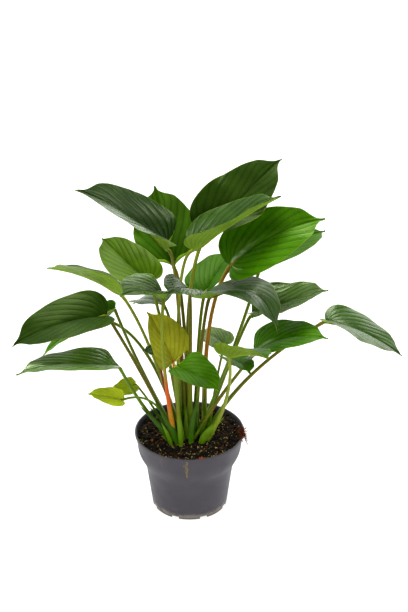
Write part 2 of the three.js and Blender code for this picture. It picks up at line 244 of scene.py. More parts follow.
def pot_plastic():
    """Dull grey plastic: soft mottling, rubbed foot, a painted shadow along its lowest edge, and dried dirt
    down the front.
    """
    material, tree, shader = new_material("pot_plastic", {})
    x, y, z = coordinates(tree, "Object")
    base = blend_colour(tree, object_noise(tree, 38, 4.0), (0.045, 0.041, 0.051), (0.072, 0.066, 0.082))
    # Earth rubbed into the lowest few millimetres, broken up by noise.
    low = math_node(tree, "MULTIPLY_ADD", z, EARTH_FADE, EARTH_START)
    patchy = multiply(tree, object_noise(tree, 120, 5.0, 0.7), low, clamp=True)
    rubbed = ramp(tree, patchy, [(0.3, 0.0), (0.5, 0.9)])
    base = blend_colour(tree, rubbed, base, (0.22, 0.195, 0.16))
    # A painted shadow darkens the lowest three millimetres of the foot.
    base = blend_colour(tree, fall_off(tree, z, FOOT_SHADOW), base, (0.022, 0.020, 0.022))
    # A streak of spilt soil under the rim, and two fainter ones to its left.
    wiggle = multiply(tree, subtract(tree, object_noise(tree, 90), 0.5), STREAK_WIGGLE)
    grit = object_noise(tree, 700, 3.0, 0.7)
    front = math_node(tree, "LESS_THAN", y, 0.0)
    for across, half, top, bottom, colour, strength in STREAKS:
        off = subtract(tree, math_node(tree, "ADD", x, wiggle), across)
        fade = fall_off(tree, math_node(tree, "ABSOLUTE", off), half)
        below = math_node(tree, "DIVIDE", subtract(tree, top, z), STREAK_TOP_FADE, clamp=True)
        above = math_node(tree, "DIVIDE", subtract(tree, z, bottom), top - bottom, clamp=True)
        mask = multiply(tree, multiply(tree, fade, below), multiply(tree, above, front))
        broken = multiply(tree, mask, ramp(tree, grit, [(0.35, 0.0), (0.6, 1.0)]))
        base = blend_colour(tree, multiply(tree, broken, strength), base, colour)
    tree.links.new(base, shader.inputs["Base Color"])
    rough = ramp(tree, object_noise(tree, 60, 4.0), [(0.3, 0.44), (0.7, 0.58)])
    tree.links.new(rough, shader.inputs["Roughness"])
    bump(tree, shader, object_noise(tree, 1400, 2.0), 0.00004)
    return material


pot = bmesh.new()
pot_inside = [(radius - WALL, height, rounding) for radius, height, rounding in POT_OUTSIDE[5:0:-1]]
turn_profile(pot, [
    (0, 0, 0), (PAD_RADIUS, 0, CORNER), (PAD_RADIUS + WALL, CHANNEL_HEIGHT, CORNER),
    (FOOT_RADIUS - 4, CHANNEL_HEIGHT, CORNER), (FOOT_RADIUS - 3, 0, CORNER), *POT_OUTSIDE,
    (RIM_RADIUS - WALL, POT_HEIGHT, CORNER), *pot_inside,
    (FOOT_RADIUS - 1, FLOOR, 0.5), (PAD_RADIUS, FLOOR, CORNER), (PAD_RADIUS - 2, PAD_FLOOR, CORNER),
    (0, PAD_FLOOR, 0),
], POT_STEPS)
pot_piece = finish("nursery_pot", pot, [pot_plastic()], "pot_plastic", "pot", sharp=50)

# The drain holes and the notches of the foot ring are cut through the moulded wall.
cutter = bmesh.new()
for number in range(DRAIN_COUNT):
    turn = Matrix.Rotation((number + 0.5) / DRAIN_COUNT * 2 * math.pi, 4, "Z")
    bmesh.ops.create_cone(cutter, cap_ends=True, segments=24, depth=4 * FLOOR,
                          radius1=DRAIN_RADIUS, radius2=DRAIN_RADIUS,
                          matrix=turn @ Matrix.Translation((DRAIN_CIRCLE, 0, 0)))
    bmesh.ops.create_cube(cutter, size=1, matrix=turn @ Matrix.Translation((FOOT_RADIUS, 0, 0))
                          @ Matrix.Diagonal((NOTCH_REACH, NOTCH_WIDTH, 2 * CHANNEL_HEIGHT, 1)))
bmesh.ops.scale(cutter, vec=(MM, MM, MM), verts=cutter.verts)
cutter_object = add_object("drain_cutter", to_mesh("drain_cutter", cutter))
cut = pot_piece.modifiers.new("drain", "BOOLEAN")
cut.object = cutter_object
cut.solver = "EXACT"
pot_view = pot_piece.evaluated_get(bpy.context.evaluated_depsgraph_get())
pot_mesh = bpy.data.meshes.new_from_object(pot_view)
pot_piece.modifiers.clear()
pot_piece.data = pot_mesh
bpy.data.objects.remove(cutter_object)


# The soil
# Dark fibrous peat that fills the pot, heaped towards the front right and round the
# clump. It is one lumpy body, with loose crumbs, chips and fibres lying on it.
GAP = 0.35
SOIL_LEVEL = 86.5
SOIL_TILT = 3.5
SOIL_MOUND = 4
SOIL_EDGE = 56.9
SOIL_STEPS = 120
SOIL_RINGS = 44


def soil_height(x, y):
    tilt = SOIL_TILT * (0.6 * x - 0.8 * y) / RIM_RADIUS
    mound = SOIL_MOUND * math.exp(-((x + 2) ** 2 + (y + 4) ** 2) / 30 ** 2)
    waves = 0.8 * math.sin(0.21 * x + 1) * math.cos(0.17 * y) + 0.5 * math.sin(0.33 * y + 0.2 * x)
    place = Vector((x, y, 0))
    lumps = 1.3 * noise.fractal(place * 0.12, 0.9, 2.1, 4) + 0.5 * noise.noise(place * 0.5)
    heap = 3.5 * math.exp(-(x / 24) ** 2 - ((y + 20) / 14) ** 2)
    return SOIL_LEVEL + tilt + mound + waves + lumps + heap


def peat(name, dark, light, scale=900):
    """Peat or wood crumbs: two browns in fine clods, dry and dull."""
    material, tree, shader = new_material(name, {"Roughness": 0.9, "Specular IOR Level": 0.25})
    clods = object_noise(tree, scale, 5.0, 0.7)
    colour = ramp(tree, clods, [(0.38, shade(*dark)), (0.66, shade(*light))])
    tree.links.new(colour, shader.inputs["Base Color"])
    bump(tree, shader, object_noise(tree, 1.6 * scale, 4.0, 0.7), 0.0006)
    return material


soil = bmesh.new()
soil_wall = [(radius - WALL - GAP, height, 0) for radius, height, _ in POT_OUTSIDE[1:5]]
soil_top = [(SOIL_EDGE * ring / SOIL_RINGS, SOIL_LEVEL, 0) for ring in range(SOIL_RINGS, -1, -1)]
turn_profile(soil, [
    (0, PAD_FLOOR + GAP, 0), (PAD_RADIUS - 2 - GAP, PAD_FLOOR + GAP, 0),
    (PAD_RADIUS - GAP, FLOOR + GAP, 0), (FOOT_RADIUS - 1.6, FLOOR + GAP, 0), *soil_wall, *soil_top,
], SOIL_STEPS)
for vert in soil.verts:
    if vert.co.z > SOIL_LEVEL - 0.01:
        vert.co.z = soil_height(vert.co.x, vert.co.y)
soil_material = peat("peat", (17, 13, 10), (46, 36, 27))
finish("potting_soil", soil, [soil_material], "peat_soil", "soil", sharp=70)

# Loose bits on the surface: how many, their least and greatest size, how flat they
# are, and their two colours. A twelfth as many again of each kind has been pushed
# up on to the front of the rim, round the middle direction given below.
CRUMBS = {
    "soil_crumbs_dark": (1300, 0.6, 2.4, 0.8, (16, 12, 9), (44, 34, 26)),
    "soil_clods": (90, 2.0, 4.8, 0.75, (15, 12, 9), (46, 36, 27)),
    "soil_bark": (18, 1.8, 4.4, 0.35, (92, 58, 34), (178, 120, 70)),
    "soil_crumbs_brown": (380, 0.5, 2.0, 0.6, (56, 36, 22), (112, 78, 48)),
    "soil_chips_pale": (230, 0.5, 2.1, 0.3, (146, 122, 70), (214, 194, 134)),
    "soil_chips_mossy": (120, 0.4, 1.9, 0.4, (112, 116, 52), (164, 164, 88)),
    "soil_crumbs_red": (240, 0.4, 1.4, 0.6, (84, 44, 24), (136, 80, 46)),
}
RIM_FRONT = -1.72
RIM_FRONT_SPREAD = 0.42
RIM_FLAT = (57.2, 59.6)
FINE_GRAIN = 1500
SEED = 11
chance = random.Random(SEED)
noise.seed_set(SEED)


def on_soil(lift=0.0):
    """A chance place on the soil's surface."""
    turn = chance.uniform(0, 2 * math.pi)
    radius = (SOIL_EDGE - 1) * math.sqrt(chance.random())
    x, y = radius * math.cos(turn), radius * math.sin(turn)
    return Vector((x, y, soil_height(x, y) + lift))


def any_turn():
    return Matrix.Rotation(chance.uniform(0, 6.28), 4, Vector((
        chance.uniform(-1, 1), chance.uniform(-1, 1), chance.uniform(-1, 1))).normalized())


def add_crumb(bm, shape, place, turn, radius=1, rounds=1):
    """A rough ball, stretched to a shape, turned, and put in its place."""
    bmesh.ops.create_icosphere(bm, subdivisions=rounds, radius=radius,
                               matrix=Matrix.Translation(place) @ turn @ Matrix.Diagonal((*shape, 1)))


for name, (count, least, greatest, flatness, dark, light) in CRUMBS.items():
    crumbs = bmesh.new()
    for _ in range(count):
        size = least + (greatest - least) * chance.random() ** 1.7
        shape = (size, size * chance.uniform(0.25, 1), size * flatness)
        add_crumb(crumbs, shape, on_soil(0.3 * size), any_turn())
    for _ in range(count // 12):
        turn = chance.gauss(RIM_FRONT, RIM_FRONT_SPREAD)
        radius = chance.uniform(*RIM_FLAT)
        place = (radius * math.cos(turn), radius * math.sin(turn), POT_HEIGHT + 0.3)
        add_crumb(crumbs, (chance.uniform(0.5, 1.3), 0.6, 0.35), place, any_turn())
    for vert in crumbs.verts:
        vert.co += 0.22 * noise.noise_vector(vert.co * 0.9)
    finish(name, crumbs, [peat(name, dark, light, FINE_GRAIN)], "peat_soil", sharp=25)

# Thin roots and coir fibres, three-sided, bowed, lying loose on the soil: how many,
# their least and greatest length, how thick they are, and their two colours.
FIBRES = {
    "soil_fibres_brown": (110, 4, 15, 0.16, (86, 58, 36), (140, 102, 64)),
    "soil_fibres_pale": (120, 3, 9, 0.2, (150, 128, 70), (206, 186, 124)),
}
FIBRE_STEPS = 7
FIBRE_BOW = 2.5


def add_fibre(bm, start, heading, length, bow, thickness):
    """A thin bowed fibre from start along heading, sagging on to the soil."""
    first = len(bm.verts)
    made = bmesh.ops.create_cone(bm, cap_ends=True, segments=3, radius1=1, radius2=0.6, depth=1)
    uprights = [edge for edge in {edge for vert in made["verts"] for edge in vert.link_edges}
                if abs(edge.verts[0].co.z - edge.verts[1].co.z) > 0.5]
    bmesh.ops.subdivide_edges(bm, edges=uprights, cuts=FIBRE_STEPS)
    aside = heading.cross(Vector((0, 0, 1))).normalized()
    bm.verts.ensure_lookup_table()
    for vert in bm.verts[first:]:
        t = vert.co.z + 0.5
        centre = start + heading * length * t + aside * bow * math.sin(math.pi * t)
        centre.z += 0.4 * bow * math.sin(2.3 * math.pi * t)
        vert.co = centre + thickness * (aside * vert.co.x + Vector((0, 0, vert.co.y)))


for name, (count, least, greatest, thickness, dark, light) in FIBRES.items():
    fibres = bmesh.new()
    for _ in range(count):
        turn = chance.uniform(0, 2 * math.pi)
        heading = Vector((math.cos(turn), math.sin(turn), chance.uniform(-0.05, 0.25)))
        length = chance.uniform(least, greatest)
        start = on_soil(0.3)
        start.xy *= 0.86
        add_fibre(fibres, start, heading, length, chance.uniform(-FIBRE_BOW, FIBRE_BOW), thickness)
    finish(name, fibres, [peat(name, dark, light, FINE_GRAIN)], "peat_soil", sharp=60)

# A tuft of reddish coir caught on the right of the rim, some of it hanging over.
TUFT = Vector((57.5, -7, 90.5))
TUFT_FIBRES = 190
HANGING_FIBRES = 44
TUFT_CRUMBS = 90
tuft = bmesh.new()
for _ in range(TUFT_FIBRES):
    start = TUFT + Vector((chance.gauss(0, 1.3), chance.gauss(0, 5.5), chance.uniform(-1.2, 1.6)))
    heading = Vector((chance.uniform(-0.6, 1), chance.uniform(-1, 1), chance.uniform(-0.1, 1.0))).normalized()
    add_fibre(tuft, start, heading, chance.uniform(2, 9), chance.uniform(-1.5, 1.5), 0.19)
for _ in range(HANGING_FIBRES):
    start = TUFT + Vector((chance.uniform(2, 3.4), chance.gauss(-2, 4), 0.7))
    heading = Vector((chance.uniform(0.15, 0.5), chance.uniform(-0.4, 0.2), -1)).normalized()
    add_fibre(tuft, start, heading, chance.uniform(4, 17), chance.uniform(-1.2, 1.2), 0.16)
for _ in range(TUFT_CRUMBS):
    size = chance.uniform(0.4, 1.5)
    place = TUFT + Vector((chance.gauss(-0.6, 1.2), chance.gauss(0, 5), chance.uniform(-1.5, 1.2)))
    add_crumb(tuft, (1, 0.6, 0.5), place, any_turn(), radius=size)
coir = peat("coir", (70, 32, 18), (146, 78, 44), FINE_GRAIN)
finish("coir_tuft", tuft, [coir], "peat_soil", sharp=60)

# Chips dried on to the pot's front below the rim, wider spread the higher they are.
CHIP_COUNT = 44
CHIP_HEIGHTS = (66, 88)
SPILL_MIDDLE = -2.6
SPILL_POINT = 58
SPILL_WIDENING = 26
spill = bmesh.new()
for _ in range(CHIP_COUNT):
    height = chance.uniform(*CHIP_HEIGHTS)
    x = SPILL_MIDDLE + chance.gauss(0, 1.2) * (height - SPILL_POINT) / SPILL_WIDENING
    ring = next(i for i, corner in enumerate(POT_OUTSIDE) if corner[1] > height)
    (below, low, _), (above, high, _) = POT_OUTSIDE[ring - 1], POT_OUTSIDE[ring]
    radius = below + (above - below) * (height - low) / (high - low)
    shape = (chance.uniform(0.3, 0.7), 0.3, chance.uniform(0.4, 1.3))
    add_crumb(spill, shape, (x, -math.sqrt(radius ** 2 - x ** 2), height), Matrix())
chip_material = peat("spilt_chips", (96, 84, 52), (176, 160, 112), FINE_GRAIN)
finish("spilt_chips", spill, [chip_material], "peat_soil", sharp=25)

# Four larger crumbs on the rim: how far across each lies, and its size.
RIM_CRUMBS = [(13.5, 1.9), (11.5, 1.3), (15.4, 1.0), (16.8, 0.8)]
RIM_MIDDLE = 59.2
rim_crumbs = bmesh.new()
for x, size in RIM_CRUMBS:
    place = (x, -math.sqrt(RIM_MIDDLE ** 2 - x ** 2), POT_HEIGHT + 0.4 * size)
    add_crumb(rim_crumbs, (1, 0.7, 0.6), place, any_turn(), radius=size, rounds=2)
for vert in rim_crumbs.verts:
    vert.co += 0.5 * noise.noise_vector(vert.co * 0.8)
crumb_material = peat("rim_crumbs", (110, 52, 32), (170, 96, 62), 1200)
finish("rim_crumbs", rim_crumbs, [crumb_material], "peat_soil", sharp=30)


# The leaf stalks
# Fleshy stalks, grooved on the side that faces the clump, flat and wide where they
# sheathe one another at the soil. Each thickens into a knuckle under its blade and
# runs on as the rib of the blade's underside.

# The list is of whole leaves: joint is where stalk and blade meet and tip the end of
# the drip tip; roll turns the blade's upper side, width is its size across, lobe how
# far its lobes reach back, fold the rise of each half at the base and from the middle
# on, arch and sway the bend of its midrib; the stalk goes from root through via, and
# is stem thick.
LEAVES = [
    dict(joint=(-22, -10, 316), tip=(-111, -45, 399), roll=-26, width=68, lobe=-8, fold=(62, 24),
         arch=(12, 13), root=(-4, -2), via=(-12, 0, 258), stem=4.6, blade="dusky", stalk="rosy"),
    dict(joint=(-16, 38, 271), tip=(-37, 82, 347), roll=-20, width=80, lobe=-12, fold=(60, 18),
         arch=(4, 4), root=(0, 5), via=(-6, 14, 223), stem=4.6, blade="moss", stalk="brown"),
    dict(joint=(20, 30, 316), tip=(97, 60, 388), roll=28, width=76, lobe=2, fold=(66, 10),
         arch=(8, 12), sway=4, root=(2, -1), via=(0, 8, 240), stem=4.8, blade="forest", stalk="light"),
    dict(joint=(7, -12, 317), tip=(93, -20, 381), roll=-1, width=62, lobe=3, fold=(60, 30),
         arch=(3, 4), root=(-9, -7), via=(-10, -6, 257), stem=4.4, blade="deep", stalk="light"),
    dict(joint=(44, 13, 286), tip=(142, 20, 337), roll=36, width=74, lobe=3, fold=(32, 12),
         arch=(9, 12), sway=-7, root=(17, 5), via=(21, 17, 206), stem=5.4, blade="bright", stalk="orange"),
    dict(joint=(78, 45, 274), tip=(149, 95, 288), roll=8, width=52, lobe=6, fold=(28, 12),
         arch=(5, 8), root=(12, 15), via=(50, 28, 184), stem=4.6, blade="meadow", stalk="olive"),
    dict(joint=(22, -14, 263), tip=(92, -70, 251), roll=-8, width=68, lobe=10, fold=(26, 10),
         arch=(28, 46), root=(6, -8), via=(13, -11, 200), stem=4.6, blade="slate", stalk="brown"),
    dict(joint=(1, -39, 284), tip=(-20, -82, 302), roll=-14, width=46, lobe=-6, fold=(26, 12),
         arch=(6, 6), root=(0, -12), via=(2, -22, 222), stem=4.2, blade="dusky", stalk="brown"),
    dict(joint=(-25, -38, 275), tip=(-67, -90, 304), roll=-8, width=56, lobe=-6, fold=(50, 18),
         arch=(9, 10), root=(-14, -18), via=(-26, -52, 211), stem=4.4, blade="ashen", stalk="ember"),
    dict(joint=(-28, 4, 246), tip=(-61, 60, 217), roll=-6, width=42, lobe=2, fold=(24, 12),
         arch=(6, 8), root=(-3, 12), via=(-15, 9, 195), stem=4.2, blade="deep", stalk="olive"),
    dict(joint=(-16, -20, 187), tip=(-43, -20, 249), roll=-47, width=56, lobe=-6, fold=(32, 26),
         arch=(3, 4), root=(-9, -15), via=(-13, -19, 140), stem=4.2, blade="yellow", stalk="russet"),
    dict(joint=(-31, -10, 193), tip=(-49, -8, 196), roll=-6, width=20, lobe=3, fold=(24, 12),
         arch=(3, 4), root=(-10, -1), via=(-27, -7, 152), stem=3.4, blade="deep", stalk="crimson"),
    dict(joint=(-86, -15, 242), tip=(-183, -45, 222), roll=-14, width=68, lobe=4, fold=(30, 14),
         arch=(12, 14), root=(-15, 3), via=(-46, -5, 155), stem=4.8, blade="forest", stalk="brown"),
    dict(joint=(-80, 12, 236), tip=(-159, 0, 183), roll=5, width=38, lobe=4, fold=(26, 12),
         arch=(6, 8), root=(-15, 10), via=(-52, 10, 163), stem=4.4, blade="fresh", stalk="olive"),
    dict(joint=(-94, 38, 208), tip=(-148, 92, 168), roll=0, width=56, lobe=6, fold=(26, 12),
         arch=(6, 8), root=(-10, 16), via=(-48, 30, 172), stem=4.4, blade="deep", stalk="olive"),
    dict(joint=(-73, -45, 197), tip=(-176, -80, 208), roll=6, width=60, lobe=-4, fold=(26, 12),
         arch=(8, 14), root=(-15, -4), via=(-45, -17, 125), stem=4.6, blade="ashen", stalk="green"),
    dict(joint=(-73, 20, 249), tip=(-153, 50, 265), roll=27, width=56, lobe=3, fold=(42, 25),
         arch=(6, 8), root=(-9, 9), via=(-43, 12, 190), stem=4.4, blade="dusky", stalk="light"),
    dict(joint=(-42, -10, 281), tip=(-93, 52, 300), roll=-22, width=50, lobe=8, fold=(24, 12),
         arch=(4, 8), sway=-4, root=(-6, 3), via=(-28, -3, 220), stem=4.4, blade="olive", stalk="olive"),
    dict(joint=(17, 29, 246), tip=(49, 91, 263), roll=-13, width=60, lobe=5, fold=(36, 22),
         arch=(4, 6), root=(7, 7), via=(10, 12, 190), stem=4.4, blade="meadow", stalk="olive"),
    dict(joint=(67, 5, 230), tip=(145, -15, 272), roll=10, width=64, lobe=-4, fold=(52, 15),
         arch=(3, 5), root=(11, -3), via=(52, 4, 198), stem=4.4, blade="ashen", stalk="olive"),
    dict(joint=(71, -24, 203), tip=(144, -50, 234), roll=8, width=64, lobe=4, fold=(26, 10),
         arch=(14, 14), root=(-1, -18), via=(31, -20, 141), stem=4.6, blade="bright", stalk="brown"),
    dict(joint=(144, -10, 232), tip=(223, -40, 208), roll=-5, width=60, lobe=3, fold=(32, 12),
         arch=(12, 6), root=(13, -10), via=(62, -11, 162), stem=4.6, blade="deep", stalk="brown"),
    dict(joint=(42, -56, 216), tip=(81, -111, 245), roll=-22, width=48, lobe=12, fold=(36, 24),
         arch=(4, 6), root=(14, -17), via=(39, -42, 154), stem=4.2, blade="bright", stalk="light"),
    dict(joint=(44, -22, 193), tip=(64, -64, 200), roll=-7, width=34, lobe=6, fold=(26, 12),
         arch=(4, 6), root=(7, -14), via=(30, -12, 150), stem=4.2, blade="fresh", stalk="green"),
    dict(joint=(39, 18, 189), tip=(12, 58, 184), roll=-16, width=30, lobe=6, fold=(20, 12),
         arch=(3, 4), root=(20, 12), via=(32, 13, 160), stem=3.4, blade="painted_sheen", stalk="olive"),
    dict(joint=(-13, -50, 200), tip=(32, -85, 192), roll=4, width=52, lobe=-4, fold=(30, 15),
         arch=(6, 6), root=(-6, -21), via=(-13, -42, 161), stem=4.2, blade="fresh", stalk="olive"),
    dict(joint=(-70, -50, 160), tip=(-105, -62, 175), roll=-34, width=22, lobe=2, fold=(24, 12),
         arch=(2, 3), root=(-15, -11), via=(-36, -29, 141), stem=3.2, blade="lemon", stalk="green"),
    dict(joint=(-58, -10, 155), tip=(-86, -24, 149), roll=-20, width=22, lobe=2, fold=(14, 10),
         arch=(2, 3), root=(-21, 5), via=(-40, -3, 123), stem=3.2, blade="lemon", stalk="green"),
]
STALK_FOOT = 78
STALK_SIDES = 14
STALK_STEPS = 54
FOOT_FLARE = 0.2
STALK_TAPER = 0.2
FLARE_REACH = 0.6
SHEATH_REACH = 0.42
JOINT_INSET = 0.15
KNUCKLE_SWELL = 0.15
KNUCKLE_REACH = 0.02
RIB_REACH = 0.32
RIB_TAPER = 0.78
BLADE_THICKNESS = 0.8
PATH_STEPS = 90
RIB_STEPS = 24
# Colours of a stalk above its pale foot, at its middle and below the blade, and how
# far up the last of them starts.
STALK_LOOKS = {
    "rosy": ((118, 148, 34), (132, 92, 48), (118, 122, 46), 0.86),
    "light": ((110, 142, 34), (132, 140, 46), (136, 146, 48), 0.86),
    "orange": ((112, 136, 28), (166, 108, 28), (142, 116, 30), 0.86),
    "brown": ((100, 130, 26), (108, 104, 26), (104, 98, 26), 0.86),
    "russet": ((160, 140, 38), (216, 84, 28), (206, 72, 28), 0.86),
    "crimson": ((112, 112, 30), (132, 60, 20), (118, 52, 20), 0.86),
    "olive": ((100, 138, 26), (104, 122, 26), (106, 122, 28), 0.86),
    "green": ((108, 152, 26), (98, 128, 24), (98, 128, 26), 0.86),
    "leafy": ((76, 122, 18), (54, 90, 14), (50, 82, 16), 0.86),
    "ember": ((146, 136, 32), (196, 74, 20), (126, 136, 38), 0.56),
}


def bezier(points, t):
    a, b, c, d = points
    s = 1 - t
    return s ** 3 * a + 3 * s * s * t * b + 3 * s * t * t * c + t ** 3 * d


def bezier_slope(points, t):
    a, b, c, d = points
    s = 1 - t
    return 3 * (s * s * (b - a) + 2 * s * t * (c - b) + t * t * (d - c))


def blade_axes(leaf):
    """Forward to the tip, up out of the upper side, across to the right, and the length."""
    forward = Vector(leaf["tip"]) - Vector(leaf["joint"])
    length = forward.length
    forward.normalize()
    up = (Vector((0, 0, 1)) - forward * forward.z).normalized()
    up.rotate(Matrix.Rotation(math.radians(leaf["roll"]), 3, forward))
    return forward, up, forward.cross(up), length


def midrib(leaf):
    forward, up, side, length = blade_axes(leaf)
    first_lift, second_lift = leaf["arch"]
    sway = leaf.get("sway", 0)
    bends = ((0, 0, 0), (1 / 3, first_lift, sway), (2 / 3, second_lift, sway), (1, 0, 0))
    joint = Vector(leaf["joint"])
    return [joint + forward * length * along + up * lift + side * aside for along, lift, aside in bends]


def share_along(points):
    """A function that gives the point at a share of a path's length, and the length up to each point."""
    marks = [0.0]
    for here, there in zip(points, points[1:]):
        marks.append(marks[-1] + (there - here).length)

    def at(share):
        wanted = min(max(share, 0.0), 1.0) * marks[-1]
        i = min(max(bisect.bisect_left(marks, wanted), 1), len(points) - 1)
        step = (wanted - marks[i - 1]) / (marks[i] - marks[i - 1])
        return points[i - 1].lerp(points[i], step)

    return at, marks


def new_rod(steps):
    """A unit rod along Z with rings all along it, and a UV map that runs up it."""
    bm = bmesh.new()
    bmesh.ops.create_cone(bm, cap_ends=True, segments=STALK_SIDES, radius1=1, radius2=1, depth=1)
    uprights = [edge for edge in bm.edges if abs(edge.verts[0].co.z - edge.verts[1].co.z) > 0.5]
    bmesh.ops.subdivide_edges(bm, edges=uprights, cuts=steps - 1)
    layer = bm.loops.layers.uv.new("UVMap")
    for face in bm.faces:
        for loop in face.loops:
            place = loop.vert.co
            loop[layer].uv = (0.5 + math.atan2(place.y, place.x) / (2 * math.pi), place.z + 0.5)
    return bm


def stalk_material(look):
    """Waxy skin whose colour changes from the soil up, finely streaked along its length."""
    *colours, top_at = STALK_LOOKS[look]
    base, middle, top = (shade(*colour) for colour in colours)
    bright = shade(150, 182, 52)
    material, tree, shader = new_material("stalk_" + look, {
        "Specular IOR Level": 0.3, "Specular Tint": (0.9, 1.0, 0.45, 1.0),
        "Subsurface Weight": 0.08, "Subsurface Scale": 0.002, "Subsurface Radius": (1.0, 0.9, 0.4)})
    _, upward, _ = coordinates(tree, "UV")
    mottle = object_noise(tree, 60, 3.0)
    shift = math_node(tree, "MULTIPLY_ADD", mottle, 0.36, -0.18)
    place = math_node(tree, "ADD", upward, shift)
    colour = ramp(tree, place, [(0.0, bright), (0.07, bright), (0.15, base), (0.36, middle), (top_at, top)])
    streaks = object_noise(tree, 900, 3.0, 0.6, stretch=(1, 1, 0.06))
    colour = vary(tree, 0.5, colour, streaks, (0.3, 0.42), (0.7, 0.62))
    specks = ramp(tree, object_noise(tree, 1100, 2.0), [(0.60, 0.0), (0.68, 0.45)])
    colour = blend_colour(tree, specks, colour, tuple(0.45 * channel for channel in top))
    tree.links.new(colour, shader.inputs["Base Color"])
    tree.links.new(ramp(tree, mottle, [(0.3, 0.28), (0.7, 0.45)]), shader.inputs["Roughness"])
    bump(tree, shader, streaks, 0.00012)
    return material


def make_stalk(number, leaf, material):
    """The stalk from the soil to its knuckle, and on as the rib under the blade."""
    _, up, _, _ = blade_axes(leaf)
    rib = midrib(leaf)
    foot = Vector((*leaf["root"], STALK_FOOT))
    joint = Vector(leaf["joint"])
    end = joint - JOINT_INSET * leaf["stem"] * bezier_slope(rib, 0).normalized()
    middle = (8 * Vector(leaf["via"]) - foot - end) / 6
    spread = (end - foot) / 6
    bends = [foot, middle - spread, middle + spread, end]
    radius = leaf["stem"] / 2
    path = [bezier(bends, i / PATH_STEPS) for i in range(PATH_STEPS + 1)]
    stalk_length = sum((there - here).length for here, there in zip(path, path[1:]))
    for i in range(1, RIB_STEPS + 1):
        s = RIB_REACH * i / RIB_STEPS
        sink = BLADE_THICKNESS + 0.5 * radius * (1 - 0.6 * s / RIB_REACH)
        path.append(bezier(rib, s) - up * sink * min(s / 0.07, 1))
    at, marks = share_along(path)
    knuckle = stalk_length / marks[-1]
    lean = Vector((joint.x - foot.x, joint.y - foot.y, 0)).normalized()
    rod = new_rod(STALK_STEPS)
    for vert in rod.verts:
        t = vert.co.z + 0.5
        turn = math.atan2(vert.co.y, vert.co.x)
        centre = (at(t - 0.008) + at(t) + at(t + 0.008)) / 3
        ahead = (at(t + 0.012) - at(t - 0.012)).normalized()
        inner = Vector((0, 0, 0.5)) - lean
        inner = (inner - ahead * inner.dot(ahead)).normalized()
        across = ahead.cross(inner)
        low = max(0.0, 1 - t / SHEATH_REACH)
        size = radius * (1 + FOOT_FLARE * (1 - min(t / FLARE_REACH, 1)))
        size *= 1 - STALK_TAPER * min(t / FLARE_REACH, 1)
        size *= 1 + KNUCKLE_SWELL * math.exp(-((t - knuckle + KNUCKLE_REACH) / KNUCKLE_REACH) ** 2)
        if t > knuckle:
            size *= 1 - RIB_TAPER * (t - knuckle) / (1 - knuckle)
        groove = (0.2 + 0.35 * low) * math.exp(-(turn / 0.55) ** 2)
        wide = 1 + 1.0 * low ** 1.4
        vert.co = centre + size * (inner * math.cos(turn) * (1 - groove) + across * math.sin(turn) * wide)
    finish(f"stalk_{number:02d}", rod, [material], "leaf_stalk", f"leaf_{number:02d}_stalk", sharp=60)


# Free sheaths round the clump's foot: where each starts, the two points that it bends
# towards, where it ends, its greatest width and thickness, and its colours.
SHEATHS = [
    ((12, -17, 84), (16, -16, 100), (27, -14, 104), (39, -12, 124), 7.5, 2.4, "green"),
    ((-12, -20, 84), (-17, -19, 100), (-28, -14, 112), (-44, -10, 127), 8.0, 2.4, "leafy"),
    ((-9, -24, 84), (-12, -26, 94), (-15, -27, 104), (-16, -27, 122), 6.5, 2.0, "leafy"),
    ((5, -19, 84), (4, -20, 100), (6, -20, 112), (9, -19, 128), 6.0, 2.0, "leafy"),
    ((-2, -22, 84), (-3, -22, 100), (-4, -20, 112), (-3, -18, 132), 6.5, 2.0, "green"),
    ((12, -27, 84), (15, -31, 106), (25, -32, 112), (38, -29, 126), 8.5, 2.2, "green"),
    ((-10, -28, 84), (-16, -34, 108), (-24, -35, 124), (-36, -29, 146), 8.5, 2.2, "leafy"),
    ((-18, -24, 84), (-27, -28, 110), (-38, -28, 122), (-53, -24, 136), 7.0, 2.0, "leafy"),
    ((2, -28, 84), (1, -33, 110), (4, -32, 130), (11, -27, 152), 6.5, 2.0, "leafy"),
    ((-8, -31, 84), (-10, -36, 108), (-11, -36, 128), (-13, -33, 150), 5.5, 2.0, "green"),
    ((-18, -28, 84), (-22, -33, 104), (-25, -35, 112), (-30, -34, 122), 4.6, 1.6, "green"),
]
SHEATH_STEPS = 26
SHEATH_WIDEST = 0.25
SHEATH_HOLLOW = 0.06


def make_sheath(number, corners, width, thickness, material):
    """A flat pointed sheath, widest a quarter of the way up and hollowed on its inner side."""
    bends = [Vector(corner) for corner in corners]
    sheath = new_rod(SHEATH_STEPS)
    for vert in sheath.verts:
        t = vert.co.z + 0.5
        turn = math.atan2(vert.co.y, vert.co.x)
        ahead = bezier_slope(bends, t).normalized()
        across = ahead.cross(Vector((0, -1, 0))).normalized()
        outer = across.cross(ahead)
        if t < SHEATH_WIDEST:
            size = 0.5 * (0.7 + 1.2 * t)
        else:
            size = 0.5 * (1 - ((t - SHEATH_WIDEST) / 0.76) ** 1.8)
        aside = width * size * math.cos(turn)
        outward = thickness * size * math.sin(turn) - SHEATH_HOLLOW * aside * aside
        vert.co = bezier(bends, t) + across * aside + outer * outward
    finish(f"sheath_{number}", sheath, [material], "leaf_stalk", sharp=60)


stalk_materials = {look: stalk_material(look) for look in STALK_LOOKS}
for number, leaf in enumerate(LEAVES, 1):
    make_stalk(number, leaf, stalk_materials[leaf["stalk"]])
for number, (*corners, width, thickness, look) in enumerate(SHEATHS, 1):
    make_sheath(number, corners, width, thickness, stalk_materials[look])


# The young shoots
# Leaves still rolled into smooth pale green points, one behind the clump at the left
# and one at its front, pressed a little flat.
SHOOTS = [
    {"root": (-24, 14), "tip": (-29, 13, 99), "thickness": 5.5},
    {"root": (-21, -17), "tip": (-30, -20, 95), "thickness": 4.5},
]
SHOOT_STEPS = 22
SHOOT_PATH_STEPS = 60


